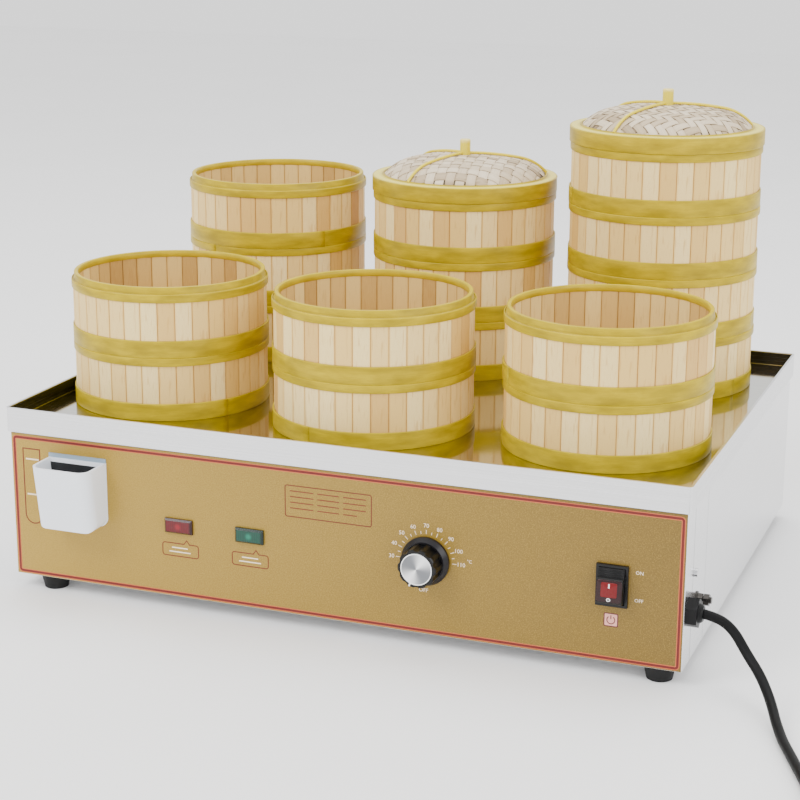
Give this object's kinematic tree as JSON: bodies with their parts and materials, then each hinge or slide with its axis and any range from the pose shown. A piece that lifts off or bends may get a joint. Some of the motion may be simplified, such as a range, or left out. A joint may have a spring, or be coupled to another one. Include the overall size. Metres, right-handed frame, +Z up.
{
  "type": "countertop bun steamer",
  "caption": "Countertop steamer with a water tank under a rimmed tray, stacks of lift-off bamboo baskets, woven lids, a dial, a rocker switch and a filler cup.",
  "frame": {"origin": "centre of the bounding box at the table, without the mains lead", "axes": "+X to the right seen from the front, +Y to the back, +Z up"},
  "size_m": [0.975, 0.8335, 0.4819],
  "materials": {
    "steel": "brushed stainless sheet",
    "bright_steel": "bright",
    "panel_film": "speckled gold-brown film with dark red outlines",
    "rubber": "matt",
    "black_plastic": "satin",
    "lamp_plastic": "clear red and clear green lenses",
    "switch_plastic": "dark maroon with a red window",
    "cup_plastic": "bluish white",
    "brass": "machined",
    "cord_rubber": "satin",
    "bamboo": "split slats, yellow-brown",
    "hoop_bamboo": "wrapped strip, olive yellow",
    "woven_bamboo": "woven pale strips"
  },
  "bodies": {
    "casing": {"bottom_pan": "steel", "rear_casing": "steel", "front_panel": "steel", "front_overlay": "panel_film", "rubber_feet": "rubber", "casing_screws": "bright_steel", "water_tank": "steel", "heating_element": "bright_steel", "thermostat": "black_plastic", "indicator_lamps": "lamp_plastic", "switch_body": "black_plastic", "water_filler_cup": "cup_plastic", "drain_valve": "brass", "cable_gland": "black_plastic", "earth_stud": "brass", "power_cord": "cord_rubber", "power_cord_coil": "cord_rubber", "power_plug": "cord_rubber"},
    "tray": {"top_tray": "steel"},
    "knob": {"control_knob": "black_plastic"},
    "rocker": {"switch_rocker": "switch_plastic"},
    "valve_lever": {"drain_lever": "bright_steel"},
    "basket_front_left_1": {"basket_front_left_1_body": "bamboo", "basket_front_left_1_hoops": "hoop_bamboo"},
    "basket_front_left_2": {"basket_front_left_2_body": "bamboo", "basket_front_left_2_hoops": "hoop_bamboo"},
    "basket_front_middle_1": {"basket_front_middle_1_body": "bamboo", "basket_front_middle_1_hoops": "hoop_bamboo"},
    "basket_front_middle_2": {"basket_front_middle_2_body": "bamboo", "basket_front_middle_2_hoops": "hoop_bamboo"},
    "basket_front_right_1": {"basket_front_right_1_body": "bamboo", "basket_front_right_1_hoops": "hoop_bamboo"},
    "basket_front_right_2": {"basket_front_right_2_body": "bamboo", "basket_front_right_2_hoops": "hoop_bamboo"},
    "basket_back_left_1": {"basket_back_left_1_body": "bamboo", "basket_back_left_1_hoops": "hoop_bamboo"},
    "basket_back_left_2": {"basket_back_left_2_body": "bamboo", "basket_back_left_2_hoops": "hoop_bamboo"},
    "basket_back_left_3": {"basket_back_left_3_body": "bamboo", "basket_back_left_3_hoops": "hoop_bamboo"},
    "basket_back_middle_1": {"basket_back_middle_1_body": "bamboo", "basket_back_middle_1_hoops": "hoop_bamboo"},
    "basket_back_middle_2": {"basket_back_middle_2_body": "bamboo", "basket_back_middle_2_hoops": "hoop_bamboo"},
    "basket_back_middle_3": {"basket_back_middle_3_body": "bamboo", "basket_back_middle_3_hoops": "hoop_bamboo"},
    "lid_back_middle": {"lid_back_middle_ring": "hoop_bamboo", "lid_back_middle_dome": "woven_bamboo", "lid_back_middle_handle": "hoop_bamboo"},
    "basket_back_right_1": {"basket_back_right_1_body": "bamboo", "basket_back_right_1_hoops": "hoop_bamboo"},
    "basket_back_right_2": {"basket_back_right_2_body": "bamboo", "basket_back_right_2_hoops": "hoop_bamboo"},
    "basket_back_right_3": {"basket_back_right_3_body": "bamboo", "basket_back_right_3_hoops": "hoop_bamboo"},
    "basket_back_right_4": {"basket_back_right_4_body": "bamboo", "basket_back_right_4_hoops": "hoop_bamboo"},
    "lid_back_right": {"lid_back_right_ring": "hoop_bamboo", "lid_back_right_dome": "woven_bamboo", "lid_back_right_handle": "hoop_bamboo"}
  },
  "joints": [
    {"name": "tray_lift", "type": "slide", "parent": "casing", "child": "tray", "axis": [0, 0, 1], "range_m": [0, 0.1]},
    {"name": "knob_turn", "type": "hinge", "parent": "casing", "child": "knob", "pos_m": [0.093, -0.259, 0.0868], "axis": [0, 1, 0], "range_deg": [-22.5, 247.5]},
    {"name": "rocker_tilt", "type": "hinge", "parent": "casing", "child": "rocker", "pos_m": [0.2693, -0.2515, 0.0879], "axis": [1, 0, 0], "range_deg": [0, 24]},
    {"name": "valve_lever_turn", "type": "hinge", "parent": "casing", "child": "valve_lever", "pos_m": [-0.2555, 0.266, 0.1], "axis": [0, 0, 1], "range_deg": [0, 90]},
    {"name": "basket_front_left_1_lift", "type": "slide", "parent": "tray", "child": "basket_front_left_1", "axis": [0, 0, 1], "range_m": [0, 0.12]},
    {"name": "basket_front_left_2_lift", "type": "slide", "parent": "basket_front_left_1", "child": "basket_front_left_2", "axis": [0, 0, 1], "range_m": [0, 0.12]},
    {"name": "basket_front_middle_1_lift", "type": "slide", "parent": "tray", "child": "basket_front_middle_1", "axis": [0, 0, 1], "range_m": [0, 0.12]},
    {"name": "basket_front_middle_2_lift", "type": "slide", "parent": "basket_front_middle_1", "child": "basket_front_middle_2", "axis": [0, 0, 1], "range_m": [0, 0.12]},
    {"name": "basket_front_right_1_lift", "type": "slide", "parent": "tray", "child": "basket_front_right_1", "axis": [0, 0, 1], "range_m": [0, 0.12]},
    {"name": "basket_front_right_2_lift", "type": "slide", "parent": "basket_front_right_1", "child": "basket_front_right_2", "axis": [0, 0, 1], "range_m": [0, 0.12]},
    {"name": "basket_back_left_1_lift", "type": "slide", "parent": "tray", "child": "basket_back_left_1", "axis": [0, 0, 1], "range_m": [0, 0.12]},
    {"name": "basket_back_left_2_lift", "type": "slide", "parent": "basket_back_left_1", "child": "basket_back_left_2", "axis": [0, 0, 1], "range_m": [0, 0.12]},
    {"name": "basket_back_left_3_lift", "type": "slide", "parent": "basket_back_left_2", "child": "basket_back_left_3", "axis": [0, 0, 1], "range_m": [0, 0.12]},
    {"name": "basket_back_middle_1_lift", "type": "slide", "parent": "tray", "child": "basket_back_middle_1", "axis": [0, 0, 1], "range_m": [0, 0.12]},
    {"name": "basket_back_middle_2_lift", "type": "slide", "parent": "basket_back_middle_1", "child": "basket_back_middle_2", "axis": [0, 0, 1], "range_m": [0, 0.12]},
    {"name": "basket_back_middle_3_lift", "type": "slide", "parent": "basket_back_middle_2", "child": "basket_back_middle_3", "axis": [0, 0, 1], "range_m": [0, 0.12]},
    {"name": "lid_back_middle_lift", "type": "slide", "parent": "basket_back_middle_3", "child": "lid_back_middle", "axis": [0, 0, 1], "range_m": [0, 0.12]},
    {"name": "basket_back_right_1_lift", "type": "slide", "parent": "tray", "child": "basket_back_right_1", "axis": [0, 0, 1], "range_m": [0, 0.12]},
    {"name": "basket_back_right_2_lift", "type": "slide", "parent": "basket_back_right_1", "child": "basket_back_right_2", "axis": [0, 0, 1], "range_m": [0, 0.12]},
    {"name": "basket_back_right_3_lift", "type": "slide", "parent": "basket_back_right_2", "child": "basket_back_right_3", "axis": [0, 0, 1], "range_m": [0, 0.12]},
    {"name": "basket_back_right_4_lift", "type": "slide", "parent": "basket_back_right_3", "child": "basket_back_right_4", "axis": [0, 0, 1], "range_m": [0, 0.12]},
    {"name": "lid_back_right_lift", "type": "slide", "parent": "basket_back_right_4", "child": "lid_back_right", "axis": [0, 0, 1], "range_m": [0, 0.12]}
  ]
}
